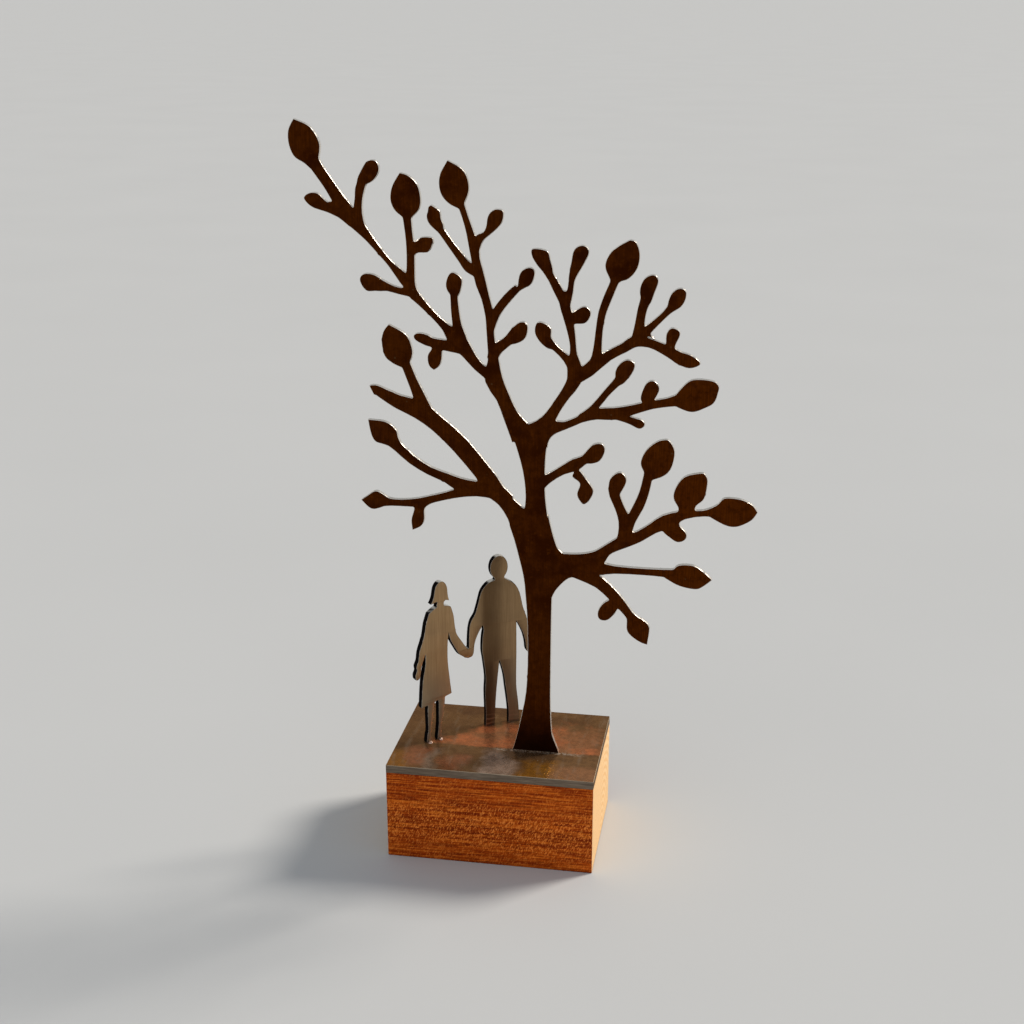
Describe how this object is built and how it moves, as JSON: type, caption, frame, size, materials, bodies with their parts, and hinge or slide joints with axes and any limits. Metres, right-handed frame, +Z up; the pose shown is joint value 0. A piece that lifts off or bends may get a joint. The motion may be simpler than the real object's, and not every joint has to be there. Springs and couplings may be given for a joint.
{
  "type": "tree of life ornament",
  "caption": "Free-standing ornament: a flat branching tree and a couple holding hands, cut from steel sheet and welded to a steel plate on a hardwood block.",
  "frame": {"origin": "middle of the block's underside", "axes": "+X along the block's length, +Y to the back, away from the tree's front face, +Z up"},
  "size_m": [0.2117, 0.07, 0.347],
  "materials": {
    "tree_steel": "dark brown lacquer over steel, satin",
    "couple_steel": "vertically brushed, thin bronze-brown lacquer",
    "plate_steel": "heat-tinted in brown and copper, clear lacquer",
    "weld_metal": "as welded, brushed off",
    "block_wood": "reddish hardwood, planed and oiled",
    "stud_steel": "copper-flashed weld stud",
    "zinc_steel": "zinc plated"
  },
  "bodies": {
    "root": {"wood_block": "block_wood", "base_plate": "plate_steel", "tree": "tree_steel", "couple": "couple_steel", "tree_weld": "weld_metal", "couple_welds": "weld_metal", "fixing_studs": "stud_steel", "fixing_washers": "zinc_steel", "fixing_nuts": "zinc_steel"}
  },
  "joints": []
}
